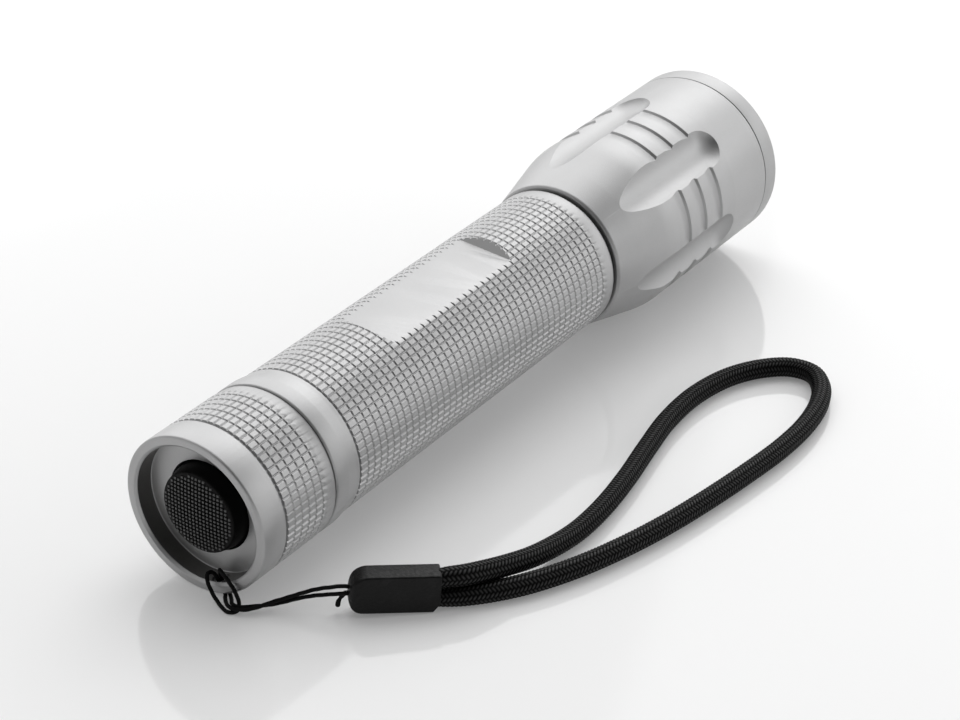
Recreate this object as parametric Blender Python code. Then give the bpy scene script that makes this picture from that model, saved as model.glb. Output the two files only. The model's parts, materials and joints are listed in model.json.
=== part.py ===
"""Aluminium hand torch with a sliding zoom head, a screw-on tail cap with a push switch, and a braided wrist strap.

Every turned piece is drawn as an outline of (station, radius) points in millimetres: the station runs along
the torch from the tail rim (0) to the front of the bezel. The torch lies on its side on z = 0, touching the
surface with the tail cap and the head, so its axis climbs slightly towards the head.
"""

import math

import bmesh
import bpy
from mathutils import Matrix, Vector

MM = 0.001
STEPS = 36          # sides of the outer turned pieces
INNER_STEPS = 24    # sides of the pieces inside
SMALL_STEPS = 16

# Driving dimensions, in millimetres
BODY_R = 16.5
CAP_R = 16.95
HEAD_R = 20.83
LENGTH = 187.0
BORE_R = 13.4
NECK_R = 14.9
HEAD_BORE_R = 15.15
PITCH = 1.25            # tail thread
THREAD_HEIGHT = 0.25    # half the thread's depth
MALE_R = 14.9           # thread mean radii: 0.3 mm of clearance between the two
FEMALE_R = 15.2
CELL_LENGTH = 49.9      # a C cell with its nub
CELL_GAP = 0.3

CAP_FRONT = 22.25
COLLAR_REAR = 22.6
COLLAR_FRONT = 122.9
HEAD_REAR = 123.7
HEAD_FRONT = 181.95
ZOOM_SHOULDER = 141.0
CONE_END = 140.6
NECK_FRONT = 151.0
RIM_EDGE = 0.6          # outer edge break of the tail rim, where the cap touches the surface
BEZEL_EDGE = 0.4

PANEL = (52.55, 96.85)  # milled flat on the grip
PANEL_HEIGHT = 14.97    # of the flat above the axis
PANEL_TURN = math.radians(4.85)
PANEL_WALL = 1.55       # run and rise of the sloping walls at its ends

SCALLOPS = 6
SCALLOP_FIRST = math.radians(45)
SCALLOP_R = 7.0
SCALLOP_LINE = 25.54    # the cutter's centre line from the torch axis
SCALLOP_FRONT = 163.1
GRIP_GROOVES = (144.9, 151.8, 158.6)
GRIP_GROOVE_LENGTH = 3.65
GRIP_GROOVE_DEPTH = 0.5
GRIP_GROOVE_RAMP = 2.5     # the gentle rear side
GRIP_GROOVE_WALL = 0.45    # the steep front side

HOLE_TURN = math.radians(165.8)   # lanyard hole, from straight up towards -Y
HOLE_STATION = 2.25
HOLE_R = 1.6

STRING_D = 0.85
CORD_D = 4.3

# The torch axis climbs so that the tail rim and the rear of the head's cylinder both touch z = 0.
TILT = math.atan((HEAD_R - CAP_R) / (CONE_END - RIM_EDGE))
AXIS_HEIGHT = CAP_R * math.cos(TILT) - RIM_EDGE * math.sin(TILT)
REAR_X = -(CAP_R - RIM_EDGE) * math.sin(TILT)
FRONT_X = LENGTH * math.cos(TILT) + (HEAD_R - BEZEL_EDGE) * math.sin(TILT)
RIM_X = -(REAR_X + FRONT_X) / 2

# The free cords' routes, in millimetres in the world frame, by hand. The string leaves the ferrule, passes
# through its own loop and the hole in the rim, comes back over the rim as that loop, and returns.
STRING_ROUTE = [
    (-83.3, -28.0, 6.2), (-84.5, -25.6, 5.7), (-86.0, -22.8, 4.9), (-87.6, -20.4, 3.9), (-89.3, -18.1, 2.9),
    (-91.3, -16.1, 2.2), (-93.3, -14.6, 1.7), (-94.9, -13.1, 1.42), (-95.8, -11.6, 1.37), (-96.1, -10.2, 1.37),
    (-95.6, -9.0, 1.27), (-94.6, -7.8, 0.9), (-93.3, -6.5, 0.55), (-92.15, -5.6, 0.48), (-91.6, -4.6, 0.64),
    (-91.55, -3.85, 1.35), (-91.55, -3.45, 2.6), (-91.75, -2.8, 3.8), (-92.35, -2.25, 4.4), (-93.2, -2.2, 4.3),
    (-93.95, -2.8, 3.5), (-94.5, -3.9, 2.4), (-95.05, -5.5, 1.2), (-95.65, -7.3, 0.47), (-96.3, -8.8, 0.45),
    (-96.45, -10.0, 0.45), (-95.85, -10.8, 0.45), (-94.85, -10.95, 0.47), (-94.2, -10.75, 1.1),
    (-94.15, -10.5, 2.3), (-94.1, -9.8, 3.7), (-93.75, -8.3, 4.9), (-92.8, -5.9, 5.5), (-91.8, -4.2, 5.3),
    (-90.95, -3.5, 4.3), (-90.6, -3.45, 2.9), (-90.6, -3.85, 1.4), (-90.65, -4.6, 0.66), (-91.1, -5.7, 0.48),
    (-92.3, -7.1, 0.5), (-93.5, -8.3, 0.9), (-94.65, -9.3, 1.27), (-95.1, -10.35, 1.37), (-94.8, -11.65, 1.37),
    (-93.9, -12.7, 1.37), (-92.6, -14.0, 1.35), (-90.9, -15.7, 1.35), (-89.2, -17.9, 1.95), (-87.8, -20.0, 2.75),
    (-86.5, -22.3, 3.5), (-85.1, -25.2, 4.2), (-83.6, -28.2, 4.8),
]
CORD_ROUTE = [
    (-70.6, -41.8, 6.55), (-67.7, -44.2, 6.4), (-63.9, -46.0, 5.9), (-58.8, -47.8, 5.1), (-52.4, -49.4, 4.1),
    (-45.3, -50.1, 3.1), (-38.0, -50.3, 2.35), (-31.4, -50.1, 2.2), (-23.8, -49.3, 2.2), (-13.7, -47.5, 2.2),
    (-2.2, -44.9, 2.2), (10.5, -42.4, 2.2), (23.3, -41.8, 2.2), (34.4, -43.9, 2.2), (41.7, -48.0, 2.2),
    (45.6, -52.7, 2.2), (45.8, -57.9, 2.2), (41.7, -62.3, 2.2), (34.9, -65.5, 2.2), (25.7, -67.4, 2.2),
    (14.6, -67.8, 2.2), (1.9, -66.9, 2.2), (-11.5, -65.4, 2.2), (-24.4, -63.4, 2.2), (-36.3, -60.7, 2.2),
    (-48.4, -56.8, 2.2), (-58.8, -51.8, 2.2), (-65.7, -46.8, 2.2), (-70.6, -41.9, 2.2),
]
KNOT_ROUTE = [(-83.1, -27.6, 4.3), (-83.5, -27.0, 3.4), (-83.9, -26.7, 2.5), (-84.1, -26.6, 1.5)]
KNOT_D = 1.0
FERRULE_END = (-71.1, -41.2, 4.2)   # centre of its open end
FERRULE_TIP = (-83.0, -28.4, 5.3)    # centre of its rounded end
FERRULE_HEIGHT = 8.2
FERRULE_WIDTH = 4.8


def clear_scene():
    for thing in list(bpy.data.objects):
        bpy.data.objects.remove(thing)


def material(name, color, roughness, metallic=0.0):
    made = bpy.data.materials.new(name)
    made.use_nodes = True
    shader = made.node_tree.nodes["Principled BSDF"]
    shader.inputs["Base Color"].default_value = (*color, 1)
    shader.inputs["Roughness"].default_value = roughness
    shader.inputs["Metallic"].default_value = metallic
    return made


def make_materials():
    return {
        "silver": material("silver_anodised", (0.72, 0.72, 0.72), 0.42, 1.0),
        "rubber": material("black_rubber", (0.02, 0.02, 0.02), 0.7),
        "strap": material("black_braid", (0.015, 0.015, 0.015), 0.85),
        "ferrule": material("ferrule_plastic", (0.02, 0.02, 0.022), 0.45),
        "lens": material("clear_lens", (0.9, 0.93, 0.95), 0.05),
        "brass": material("turned_brass", (0.72, 0.53, 0.25), 0.35, 1.0),
        "spring": material("spring_steel", (0.6, 0.6, 0.6), 0.3, 1.0),
        "board": material("circuit_board", (0.75, 0.76, 0.74), 0.5),
        "phosphor": material("led_phosphor", (0.85, 0.72, 0.1), 0.4),
        "ceramic": material("led_ceramic", (0.85, 0.85, 0.83), 0.5),
        "cell": material("cell_wrap", (0.06, 0.07, 0.09), 0.35),
        "plastic": material("switch_plastic", (0.05, 0.05, 0.055), 0.5),
    }


def finish(name, mesh, look, parent=None):
    """A named object with smooth turned faces and crisp edges, placed in the torch's frame by its parent."""
    mesh.materials.append(look)
    mesh.shade_smooth()
    mesh.set_sharp_from_angle(angle=math.radians(32))
    thing = bpy.data.objects.new(name, mesh)
    bpy.context.scene.collection.objects.link(thing)
    thing.parent = parent
    return thing


def thread_wave(station, angle):
    """A right-hand V thread between -1 and 1."""
    phase = (station / PITCH - angle / math.tau) % 1.0
    return 4 * abs(phase - 0.5) - 1


def turned_mesh(name, outline, steps, opening=0.0):
    """Turns an outline of (station, radius) or (station, radius, thread height) about the X axis, in metres.
    A point of radius 0 is a pole. An opening, in radians, leaves a gap like that of a spring clip."""
    shape = bmesh.new()
    turn = math.tau - opening
    ring_count = steps + 1 if opening else steps
    rings = []
    for point in outline:
        station, radius = point[0], point[1]
        height = point[2] if len(point) > 2 else 0.0
        if radius == 0:
            rings.append([shape.verts.new((station * MM, 0, 0))])
            continue
        ring = []
        for k in range(ring_count):
            angle = opening / 2 + turn * k / steps
            r = radius + height * thread_wave(station, angle)
            ring.append(shape.verts.new((station * MM, r * math.cos(angle) * MM, r * math.sin(angle) * MM)))
        rings.append(ring)
    solid = any(len(ring) == 1 for ring in rings)
    pairs = list(zip(rings, rings[1:])) if solid else list(zip(rings, rings[1:] + rings[:1]))
    for first, second in pairs:
        for k in range(steps):
            after = k + 1 if opening else (k + 1) % steps
            corners = [first[k % len(first)], first[after % len(first)],
                       second[after % len(second)], second[k % len(second)]]
            shape.faces.new(list(dict.fromkeys(corners)))
    if opening:
        shape.faces.new([ring[0] for ring in rings])
        shape.faces.new([ring[-1] for ring in reversed(rings)])
    bmesh.ops.recalc_face_normals(shape, faces=shape.faces)
    mesh = bpy.data.meshes.new(name)
    shape.to_mesh(mesh)
    shape.free()
    return mesh


def turned(name, outline, look, parent, steps=STEPS, opening=0.0):
    return finish(name, turned_mesh(name, outline, steps, opening), look, parent)


def thread(start, end, radius, height):
    """Outline points of a thread that fades in and out at its ends, three to a pitch."""
    count = round(abs(end - start) / PITCH * 3)
    points = []
    for k in range(count + 1):
        fade = min(1.0, k / 2, (count - k) / 2)
        points.append((start + (end - start) * k / count, radius, height * fade))
    return points


def ring_section(station, radius, thickness, sides=6):
    """The outline of an O-ring."""
    return [
        (station + thickness / 2 * math.cos(math.tau * k / sides),
         radius + thickness / 2 * math.sin(math.tau * k / sides))
        for k in range(sides)
    ]


def block_mesh(name, low, high, bevel=0.0):
    shape = bmesh.new()
    bmesh.ops.create_cube(shape, size=1.0)
    size = Vector(high) - Vector(low)
    middle = (Vector(high) + Vector(low)) / 2
    for vert in shape.verts:
        vert.co = Vector([(middle[i] + vert.co[i] * size[i]) * MM for i in range(3)])
    if bevel:
        bmesh.ops.bevel(shape, geom=list(shape.edges), offset=bevel * MM, segments=1, affect="EDGES")
    mesh = bpy.data.meshes.new(name)
    shape.to_mesh(mesh)
    shape.free()
    return mesh


def turn_from_up(angle):
    """The rotation about X that carries +Z by this angle towards -Y."""
    return Matrix.Rotation(angle, 4, "X")


def cut(thing, cutter_mesh, parent):
    """Cuts a mesh, given in the parent's frame, out of a piece."""
    cutter = bpy.data.objects.new(thing.name + "_cutter", cutter_mesh)
    bpy.context.scene.collection.objects.link(cutter)
    cutter.parent = parent
    cutter.hide_render = True
    cutter.display_type = "WIRE"
    modifier = thing.modifiers.new("cut", "BOOLEAN")
    modifier.operation = "DIFFERENCE"
    modifier.object = cutter


def coil_points(start, end, start_radius, end_radius, turns, per_turn=10):
    """Points of a tapered spring about the X axis, in millimetres."""
    count = round(turns * per_turn)
    points = []
    for k in range(count + 1):
        share = k / count
        radius = start_radius + (end_radius - start_radius) * share
        angle = math.tau * turns * share
        points.append((start + (end - start) * share, radius * math.cos(angle), radius * math.sin(angle)))
    return points


def smooth_points(route, spacing):
    """Evenly spaced points on the smooth curve (centripetal Catmull-Rom) through a route's points."""
    points = [Vector(p) for p in route]
    ends = [points[0] * 2 - points[1]] + points + [points[-1] * 2 - points[-2]]
    dense = []
    for p0, p1, p2, p3 in zip(ends, ends[1:], ends[2:], ends[3:]):
        t1 = (p1 - p0).length ** 0.5
        t2 = t1 + (p2 - p1).length ** 0.5
        t3 = t2 + (p3 - p2).length ** 0.5
        for k in range(16):
            t = t1 + (t2 - t1) * k / 16
            a1 = p0.lerp(p1, t / t1)
            a2 = p1.lerp(p2, (t - t1) / (t2 - t1))
            a3 = p2.lerp(p3, (t - t2) / (t3 - t2))
            b1 = a1.lerp(a2, t / t2)
            b2 = a2.lerp(a3, (t - t1) / (t3 - t1))
            dense.append(b1.lerp(b2, (t - t1) / (t2 - t1)))
    dense.append(points[-1])
    total = sum((b - a).length for a, b in zip(dense, dense[1:]))
    count = round(total / spacing)
    even, walked, index = [dense[0]], 0.0, 0
    for k in range(1, count):
        target = total * k / count
        while walked + (dense[index + 1] - dense[index]).length < target:
            walked += (dense[index + 1] - dense[index]).length
            index += 1
        step = dense[index + 1] - dense[index]
        even.append(dense[index] + step * ((target - walked) / step.length))
    return even + [dense[-1]]


def tube(name, points, diameter, look, parent=None, resolution=2):
    """A round tube with filled ends along points in millimetres."""
    line = bpy.data.curves.new(name, "CURVE")
    line.dimensions = "3D"
    line.bevel_depth = diameter / 2 * MM
    line.bevel_resolution = resolution
    line.use_fill_caps = True
    spline = line.splines.new("POLY")
    spline.points.add(len(points) - 1)
    for spot, point in zip(spline.points, points):
        spot.co = (*[value * MM for value in point], 1)
    line.materials.append(look)
    thing = bpy.data.objects.new(name, line)
    bpy.context.scene.collection.objects.link(thing)
    thing.parent = parent
    return thing


def make_tube_body(looks, frame):
    """The grip tube, with the thread for the tail cap, the milled flat and the neck that the head slides on."""
    outline = (
        [(14.3, BORE_R), (14.3, 14.4)]
        + thread(14.6, 20.1, MALE_R, THREAD_HEIGHT)
        + [(20.6, MALE_R), (20.6, 14.2), (21.9, 14.2), (21.9, MALE_R + 0.25),
           (COLLAR_REAR, MALE_R + 0.25), (COLLAR_REAR, CAP_R - 0.45), (COLLAR_REAR + 0.45, CAP_R),
           (26.3, CAP_R), (29.4, BODY_R), (30.35, BODY_R), (30.45, BODY_R - 0.4), (30.85, BODY_R - 0.4),
           (30.95, BODY_R), (COLLAR_FRONT - 1.2, BODY_R), (COLLAR_FRONT - 0.4, BODY_R - 0.35),
           (COLLAR_FRONT, BODY_R - 1.0), (COLLAR_FRONT, NECK_R),
           (136.3, NECK_R), (136.3, 14.0), (137.9, 14.0), (137.9, NECK_R),
           (149.0, NECK_R), (149.0, 14.2), (150.6, 14.2), (150.6, NECK_R),
           (NECK_FRONT, NECK_R), (NECK_FRONT, 12.6), (122.6, 12.6), (122.0, BORE_R)]
    )
    grip = turned("body_tube", outline, looks["silver"], frame)
    low, high = PANEL
    top = PANEL_HEIGHT + 5
    side = [(low, top), (low, PANEL_HEIGHT + PANEL_WALL), (low + PANEL_WALL, PANEL_HEIGHT)]
    side += [(low + high - station, height) for station, height in reversed(side)]
    shape = bmesh.new()
    half = BODY_R
    near = [shape.verts.new((s * MM, -half * MM, z * MM)) for s, z in side]
    far = [shape.verts.new((s * MM, half * MM, z * MM)) for s, z in side]
    shape.faces.new(near)
    shape.faces.new(list(reversed(far)))
    for k in range(len(side)):
        after = (k + 1) % len(side)
        shape.faces.new([near[after], near[k], far[k], far[after]])
    bmesh.ops.recalc_face_normals(shape, faces=shape.faces)
    bmesh.ops.transform(shape, matrix=turn_from_up(PANEL_TURN), verts=shape.verts)
    cutter = bpy.data.meshes.new("panel_cutter")
    shape.to_mesh(cutter)
    shape.free()
    cut(grip, cutter, frame)


def make_neck_fittings(looks, frame):
    turned("neck_oring", ring_section(137.1, 14.57, 0.96), looks["rubber"], frame, INNER_STEPS)
    turned("zoom_bumper", ring_section(123.3, 15.5, 0.4), looks["rubber"], frame)
    clip = [(149.2, 14.45), (149.2, 16.3), (150.4, 16.3), (150.4, 14.45)]
    turned("stop_clip", clip, looks["spring"], frame, INNER_STEPS, opening=math.radians(25))


def make_light_engine(looks, frame):
    pill = [(147.0, 0), (147.0, 10.5), (128.5, 10.5), (128.5, 12.3), (NECK_FRONT + 0.3, 12.3),
            (NECK_FRONT + 0.3, 14.5), (152.8, 14.5), (152.8, 0)]
    turned("led_pill", pill, looks["brass"], frame, INNER_STEPS)
    turned("led_board", [(153.1, 0), (153.1, 10.0), (154.6, 10.0), (154.6, 0)], looks["board"], frame, INNER_STEPS)
    package = block_mesh("led_package", (154.9, -2.5, -2.5), (156.0, 2.5, 2.5))
    finish("led_package", package, looks["ceramic"], frame)
    dome = [(156.3, 0)] + [
        (156.3 + 1.8 * math.sin(math.pi / 2 * k / 4), 1.9 * math.cos(math.pi / 2 * k / 4)) for k in range(4)
    ] + [(158.1, 0)]
    turned("led_dome", dome, looks["phosphor"], frame, SMALL_STEPS)
    turned("driver_board", [(126.9, 0), (126.9, 12.2), (128.1, 12.2), (128.1, 0)], looks["board"], frame, INNER_STEPS)
    coil = coil_points(126.15, 121.9, 5.5, 3.2, 3)
    tube("driver_spring", coil, 0.8, looks["spring"], frame, 1)


def make_cells(looks, frame):
    outline = [(0, 0), (0, 12.6), (0.5, 13.1), (47.8, 13.1), (48.3, 12.6), (48.3, 3.4), (CELL_LENGTH, 3.1),
               (CELL_LENGTH, 0)]
    start = 21.0
    for number in (1, 2):
        moved = [(station + start, radius) for station, radius in outline]
        turned("cell_%d" % number, moved, looks["cell"], frame, INNER_STEPS)
        start += CELL_LENGTH + CELL_GAP


def make_head(looks, frame):
    """The zoom head: a cone and cylinder with turned grip grooves and ball-milled scallops."""
    outline = [(HEAD_REAR, HEAD_BORE_R), (HEAD_REAR, 16.67), (HEAD_REAR + 0.4, 17.12), (CONE_END, HEAD_R)]
    for start in GRIP_GROOVES:
        end = start + GRIP_GROOVE_LENGTH
        outline += [(start, HEAD_R), (start + GRIP_GROOVE_RAMP, HEAD_R - GRIP_GROOVE_DEPTH),
                    (end - GRIP_GROOVE_WALL, HEAD_R - GRIP_GROOVE_DEPTH), (end, HEAD_R)]
    outline += [(HEAD_FRONT, HEAD_R), (HEAD_FRONT, 19.35), (173.6, 19.35), (173.6, 17.4), (168.0, 16.9),
                (ZOOM_SHOULDER, 16.9), (ZOOM_SHOULDER, HEAD_BORE_R)]
    head = turned("head_shell", outline, looks["silver"], frame)
    cutters = bmesh.new()
    for k in range(SCALLOPS):
        nose = [(SCALLOP_FRONT + SCALLOP_R * math.sin(a), SCALLOP_R * math.cos(a))
                for a in (math.radians(22.5 * j) for j in range(4))]
        capsule = turned_mesh("capsule", [(110.0, 0), (110.0, SCALLOP_R)] + nose
                              + [(SCALLOP_FRONT + SCALLOP_R, 0)], SMALL_STEPS)
        capsule.transform(Matrix.Translation((0, 0, SCALLOP_LINE * MM)))
        capsule.transform(turn_from_up(SCALLOP_FIRST + math.tau * k / SCALLOPS))
        cutters.from_mesh(capsule)
    mesh = bpy.data.meshes.new("scallop_cutters")
    cutters.to_mesh(mesh)
    cutters.free()
    cut(head, mesh, frame)


def make_lens_group(looks, frame):
    bezel = [(177.3, 17.9), (177.3, 19.15), (182.15, 19.15), (182.15, HEAD_R), (LENGTH - BEZEL_EDGE, HEAD_R),
             (LENGTH, HEAD_R - BEZEL_EDGE), (LENGTH, 18.1), (185.6, 17.2), (182.6, 17.2), (182.6, 17.9)]
    turned("bezel_ring", bezel, looks["silver"], frame)
    rise, base = 8.3, 17.3
    sphere = (base * base + rise * rise) / (2 * rise)
    sweep = math.asin(base / sphere)
    dome = [(176.0 + rise - sphere + sphere * math.cos(sweep * (1 - k / 5)), sphere * math.sin(sweep * (1 - k / 5)))
            for k in range(5)]
    lens = [(173.9, 0), (173.9, 18.9), (176.0, 18.9)] + dome + [(176.0 + rise, 0)]
    turned("lens", lens, looks["lens"], frame)
    gasket = [(176.15, 17.9), (176.15, 18.9), (177.1, 18.9), (177.1, 17.9)]
    turned("lens_gasket", gasket, looks["rubber"], frame)


def make_tail_cap(looks, frame):
    turned("tail_oring", ring_section(21.25, 14.9, 1.1), looks["rubber"], frame, INNER_STEPS)
    outline = (
        [(0, 15.15), (0, CAP_R - RIM_EDGE), (RIM_EDGE, CAP_R), (6.7, CAP_R), (6.8, CAP_R - 0.5),
         (7.4, CAP_R - 0.5), (7.5, CAP_R), (CAP_FRONT - 0.4, CAP_R), (CAP_FRONT, CAP_R - 0.4),
         (CAP_FRONT, 15.6), (20.5, 15.6)]
        + thread(20.1, 14.6, FEMALE_R, THREAD_HEIGHT)
        + [(14.2, 15.3), (13.9, 13.6), (6.0, 13.6), (6.0, 9.7), (4.5, 9.7), (4.5, 14.6), (0.5, 14.6)]
    )
    cap = turned("tail_cap_shell", outline, looks["silver"], frame)
    bore = turned_mesh("bore", [(13.2, 0), (13.2, HOLE_R), (19.0, HOLE_R), (19.0, 0)], SMALL_STEPS)
    bore.transform(Matrix.Rotation(-math.pi / 2, 4, "Y"))
    bore.transform(turn_from_up(HOLE_TURN))
    bore.transform(Matrix.Translation((HOLE_STATION * MM, 0, 0)))
    cut(cap, bore, frame)


def make_switch(looks, frame):
    boot = [(0.6, 0), (0.6, 8.0), (1.2, 8.6), (4.4, 9.3), (6.3, 9.35), (6.3, 11.3), (7.4, 11.3), (7.4, 7.6),
            (2.4, 7.2), (2.2, 0)]
    turned("switch_boot", boot, looks["rubber"], frame, STEPS)
    plunger = [(2.5, 0), (2.5, 3.4), (3.1, 3.4), (3.1, 2.2), (7.4, 2.2), (7.4, 0)]
    turned("switch_plunger", plunger, looks["plastic"], frame, SMALL_STEPS)
    box = block_mesh("switch_housing", (5.0, -4.8, -4.8), (11.0, 4.8, 4.8), 0.5)
    housing = finish("switch_housing", box, looks["plastic"], frame)
    cut(housing, turned_mesh("bore", [(3.0, 0), (3.0, 2.5), (9.6, 2.5), (9.6, 0)], SMALL_STEPS), frame)
    turned("switch_board", [(11.3, 0), (11.3, 13.2), (12.5, 13.2), (12.5, 0)], looks["board"], frame, INNER_STEPS)
    retainer = [(12.8, 10.5), (12.8, 13.25), (14.0, 13.25), (14.0, 10.5)]
    turned("switch_retainer", retainer, looks["brass"], frame, INNER_STEPS)
    tube("tail_spring", coil_points(13.25, 20.25, 6.5, 4.5, 4), 0.9, looks["spring"], frame, 1)


def make_ferrule(looks):
    """The moulded end of the strap: a flat block on its narrow side, rounded where the string enters."""
    end, tip = Vector(FERRULE_END), Vector(FERRULE_TIP)
    length = (end - tip).length
    half_height, half_width = FERRULE_HEIGHT / 2, FERRULE_WIDTH / 2
    corner = 0.9
    shape = bmesh.new()
    rings = []
    for share, scale in ((0.0, 0.42), (0.03, 0.64), (0.09, 0.83), (0.17, 0.95), (0.27, 1.0), (1.0, 1.0)):
        ring = []
        for sign_y, sign_z, first in ((1, 1, 0), (-1, 1, 90), (-1, -1, 180), (1, -1, 270)):
            for step in range(4):
                angle = math.radians(first + 30 * step)
                y = sign_y * (half_width - corner) + corner * math.cos(angle)
                z = sign_z * (half_height - corner) + corner * math.sin(angle)
                narrow = 1 - (1 - scale) * 0.45
                ring.append(shape.verts.new((length * share * MM, y * narrow * MM, z * scale * MM)))
        rings.append(ring)
    count = len(rings[0])
    for first, second in zip(rings, rings[1:]):
        for k in range(count):
            after = (k + 1) % count
            shape.faces.new([first[k], first[after], second[after], second[k]])
    shape.faces.new(rings[0])
    shape.faces.new(list(reversed(rings[-1])))
    bmesh.ops.recalc_face_normals(shape, faces=shape.faces)
    mesh = bpy.data.meshes.new("cord_ferrule")
    shape.to_mesh(mesh)
    shape.free()
    ferrule = finish("cord_ferrule", mesh, looks["ferrule"])
    along = (end - tip).normalized()
    side = Vector((0, 0, 1)).cross(along).normalized()
    up = along.cross(side)
    ferrule.matrix_world = Matrix.Translation(tip * MM) @ Matrix((along, side, up)).transposed().to_4x4()


def make_strap(looks):
    make_ferrule(looks)
    tube("lanyard_string", smooth_points(STRING_ROUTE, 1.65), STRING_D, looks["strap"])
    tube("string_knot", smooth_points(KNOT_ROUTE, 0.8), KNOT_D, looks["strap"])
    tube("wrist_cord", smooth_points(CORD_ROUTE, 4.2), CORD_D, looks["strap"], resolution=3)


def main():
    clear_scene()
    looks = make_materials()
    frame = bpy.data.objects.new("torch_axis", None)
    bpy.context.scene.collection.objects.link(frame)
    frame.location = (RIM_X * MM, 0, AXIS_HEIGHT * MM)
    frame.rotation_euler = (0, -TILT, 0)
    make_tube_body(looks, frame)
    make_neck_fittings(looks, frame)
    make_light_engine(looks, frame)
    make_cells(looks, frame)
    make_head(looks, frame)
    make_lens_group(looks, frame)
    make_tail_cap(looks, frame)
    make_switch(looks, frame)
    make_strap(looks)


main()
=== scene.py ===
"""Looks for an aluminium hand torch with a zoom head, a tail switch and a braided wrist strap.

Stations run along the torch's axis from the tail rim and radii stand out from it, both in millimetres. The
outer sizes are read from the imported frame; the finer features are set here.
"""

import json
import math

import bmesh
import bpy
import numpy as np
from mathutils import Matrix, Vector


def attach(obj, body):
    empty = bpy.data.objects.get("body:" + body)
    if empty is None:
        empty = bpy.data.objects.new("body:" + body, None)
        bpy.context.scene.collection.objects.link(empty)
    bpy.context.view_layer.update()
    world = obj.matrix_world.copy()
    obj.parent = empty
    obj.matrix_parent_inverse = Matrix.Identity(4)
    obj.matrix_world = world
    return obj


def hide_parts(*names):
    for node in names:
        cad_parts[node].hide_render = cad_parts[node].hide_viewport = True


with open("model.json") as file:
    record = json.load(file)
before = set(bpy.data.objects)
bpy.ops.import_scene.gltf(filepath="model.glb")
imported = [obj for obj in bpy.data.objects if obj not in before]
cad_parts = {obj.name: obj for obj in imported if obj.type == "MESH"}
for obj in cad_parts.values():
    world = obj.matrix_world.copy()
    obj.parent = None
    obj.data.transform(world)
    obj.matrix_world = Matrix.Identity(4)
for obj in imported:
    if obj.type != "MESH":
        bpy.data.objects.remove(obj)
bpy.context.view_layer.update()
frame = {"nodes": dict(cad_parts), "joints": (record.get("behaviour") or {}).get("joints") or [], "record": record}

MM = 0.001
JOINTS = {joint["name"]: joint for joint in frame["joints"]}
ALONG = Vector(JOINTS["zoom_slide"]["axis"]).normalized()
RIM_CENTRE = Vector(JOINTS["tail_cap_turn"]["pos_m"])
TO_WORLD = Matrix.Translation(RIM_CENTRE) @ Matrix.Rotation(-math.asin(ALONG.z), 4, "Y")
TO_AXIS = TO_WORLD.inverted()


class Reach:
    """How far a CAD node reaches along the torch and out from its axis, in millimetres."""

    def __init__(self, node):
        points = np.array([(TO_AXIS @ vert.co)[:] for vert in frame["nodes"][node].data.vertices]) / MM
        self.rear = float(points[:, 0].min())
        self.front = float(points[:, 0].max())
        self.radius = float(np.hypot(points[:, 1], points[:, 2]).max())


CAP = Reach("tail_cap_shell")
TUBE = Reach("body_tube")
HEAD = Reach("head_shell")
BEZEL = Reach("bezel_ring")
LENS = Reach("lens")
BOOT = Reach("switch_boot")

# The tail thread: V flanks, the same pitch as the cap's travel for each turn.
PITCH = frame["record"]["behaviour"]["couplings"][0]["ratio"] * math.tau / MM
THREAD_HEIGHT = 0.25
MALE_R = 14.9
FEMALE_R = 15.2
THREAD_SPAN = (14.6, 20.1)

# The knurl: square pads between ring grooves and grooves along the torch. The two kinds of groove are as
# wide as RING_TOP and GROOVE_TOP at the pads' faces, and as GROOVE_FLOOR at the bottom.
PADS_ROUND = 66
KNURL_DEPTH = 0.27
RING_TOP = 0.5
GROOVE_TOP = 0.62
GROOVE_FLOOR = 0.08
KNURL_RUNOUT = 0.5
GRIP_R = 16.5
GRIP_KNURL = (30.94, 119.5)
GRIP_RINGS = [33.2 + 2.125 * k for k in range(41)]
CAP_KNURL = (7.5, 19.8)
CAP_RINGS = [9.6 + 2.15 * k for k in range(5)]

# The milled flat: its two ends, its height over the axis, its turn from the top, and its end walls' run.
PANEL = (52.55, 96.85)
PANEL_HEIGHT = 14.97
PANEL_TURN = math.radians(4.85)
PANEL_WALL = 1.55

# The neck that the head slides on, and the bores for the cells and for the LED's holder.
NECK_R = 14.9
CELL_BORE_R = 13.4
PILL_BORE_R = 12.6

# The stretch and radius of the tail recess whose wall gets painted shade, and the lanyard hole through its wall.
SHADED_RECESS_SPAN = (0.6, 4.3)
SHADED_RECESS_R = 15.0
HOLE_TURN = math.radians(165.8)
HOLE_STATION = 2.25
HOLE_R = 1.6

# The head's scallops, cut by a round-nosed cutter whose line runs along the torch, and its ring grooves,
# each a long ramp down and a steep wall.
SCALLOPS = 6
SCALLOP_FIRST = math.radians(45)
SCALLOP_R = 7.0
SCALLOP_LINE = 25.54
SCALLOP_FRONT = 163.1
SCALLOP_COLUMNS = 24
LAND_COLUMNS = 12
HEAD_GROOVES = (144.9, 151.8, 158.6)
HEAD_GROOVE_LENGTH = 3.65
HEAD_GROOVE_DEPTH = 0.5
HEAD_GROOVE_RAMP = 2.5
HEAD_GROOVE_WALL = 0.45
CONE_END = 140.6
CONE_START_R = 17.12

# The strap: diameters, and the spacing of the rows along each cord.
STRING_D = 0.85
CORD_D = 4.3
KNOT_D = 1.0
CORD_STEP = 0.19
STRING_STEP = 0.16
KNOT_STEP = 0.08
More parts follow.
